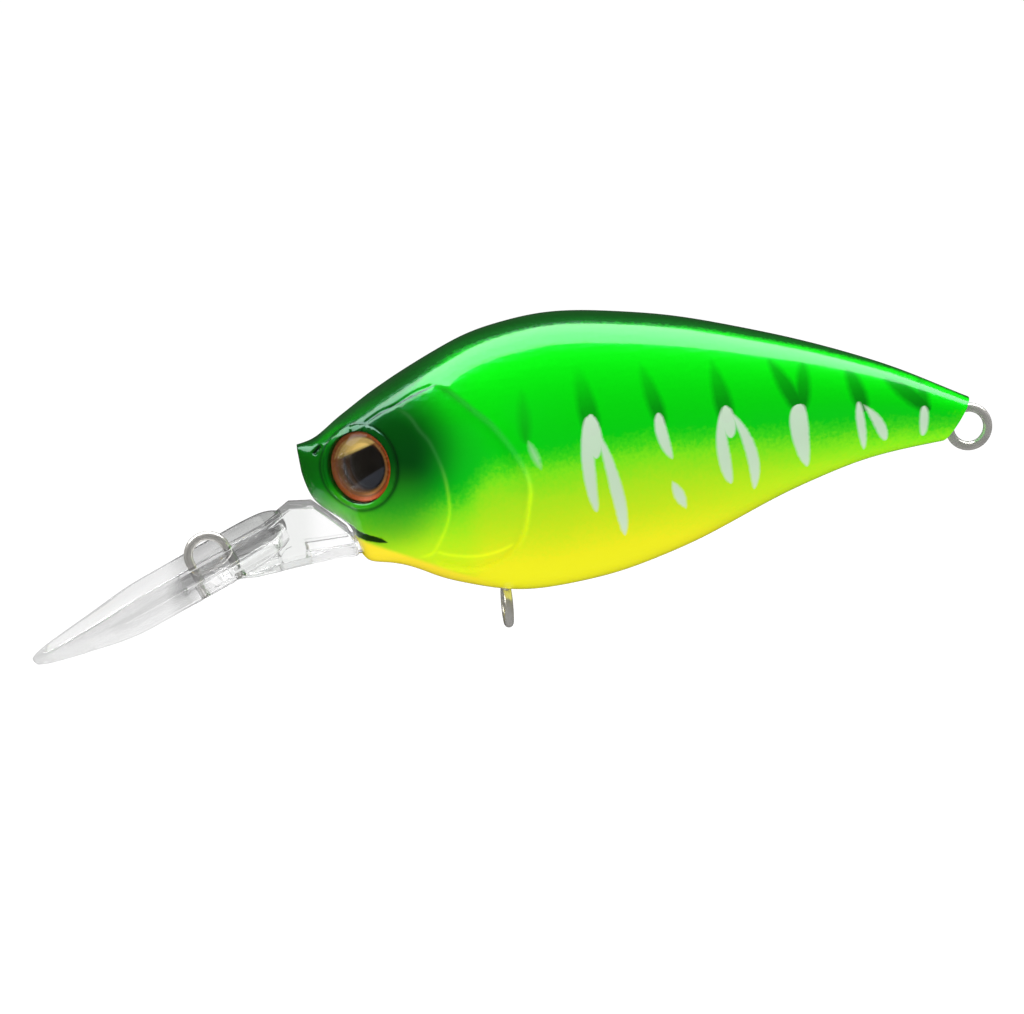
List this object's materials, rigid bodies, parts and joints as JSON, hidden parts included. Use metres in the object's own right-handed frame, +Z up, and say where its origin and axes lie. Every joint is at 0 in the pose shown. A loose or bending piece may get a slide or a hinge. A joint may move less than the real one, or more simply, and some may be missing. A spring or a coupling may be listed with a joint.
{
  "type": "crankbait lure",
  "caption": "Diving crankbait with a hollow split body, a clear lip, wire eyes for line and hooks, moulded eyes, fixed ballast and loose balls that shift inside.",
  "frame": {"origin": "centre of the line tie's loop", "axes": "+X towards the tail along the body, +Y towards the lure's right side, +Z up"},
  "size_m": [0.0949, 0.0208, 0.0305],
  "materials": {
    "body_paint": "gloss",
    "clear_lip": "polished",
    "wire": "gloss",
    "iris_foil": "gloss",
    "pupil": "gloss",
    "eye_lens": "polished",
    "ballast_brass": "satin",
    "ball_steel": "gloss",
    "rolling_metal": "satin",
    "magnet": "satin"
  },
  "bodies": {
    "lure": {"left_shell": "body_paint", "right_shell": "body_paint", "diving_lip": "clear_lip", "line_tie": "wire", "belly_hanger": "wire", "tail_hanger": "wire", "left_eye_iris": "iris_foil", "right_eye_iris": "iris_foil", "left_eye_pupil": "pupil", "right_eye_pupil": "pupil", "left_eye_lens": "eye_lens", "right_eye_lens": "eye_lens", "belly_ballast": "ballast_brass", "ballast_ball": "ball_steel", "channel_magnet": "magnet"},
    "rolling_balls": {"front_rolling_ball": "rolling_metal", "middle_rolling_ball": "rolling_metal", "rear_rolling_ball": "rolling_metal"},
    "front_rattle": {"front_rattle_ball": "ball_steel"},
    "rear_rattle": {"rear_rattle_ball": "ball_steel"}
  },
  "joints": [
    {"name": "channel_roll", "type": "slide", "parent": "lure", "child": "rolling_balls", "axis": [0.9871, 0, 0.1599], "range_m": [0, 0.022]},
    {"name": "front_rattle_roll", "type": "slide", "parent": "lure", "child": "front_rattle", "axis": [0.9945, 0, 0.1045], "range_m": [0, 0.005]},
    {"name": "rear_rattle_roll", "type": "slide", "parent": "lure", "child": "rear_rattle", "axis": [0.9945, 0, 0.1045], "range_m": [0, 0.005]}
  ]
}
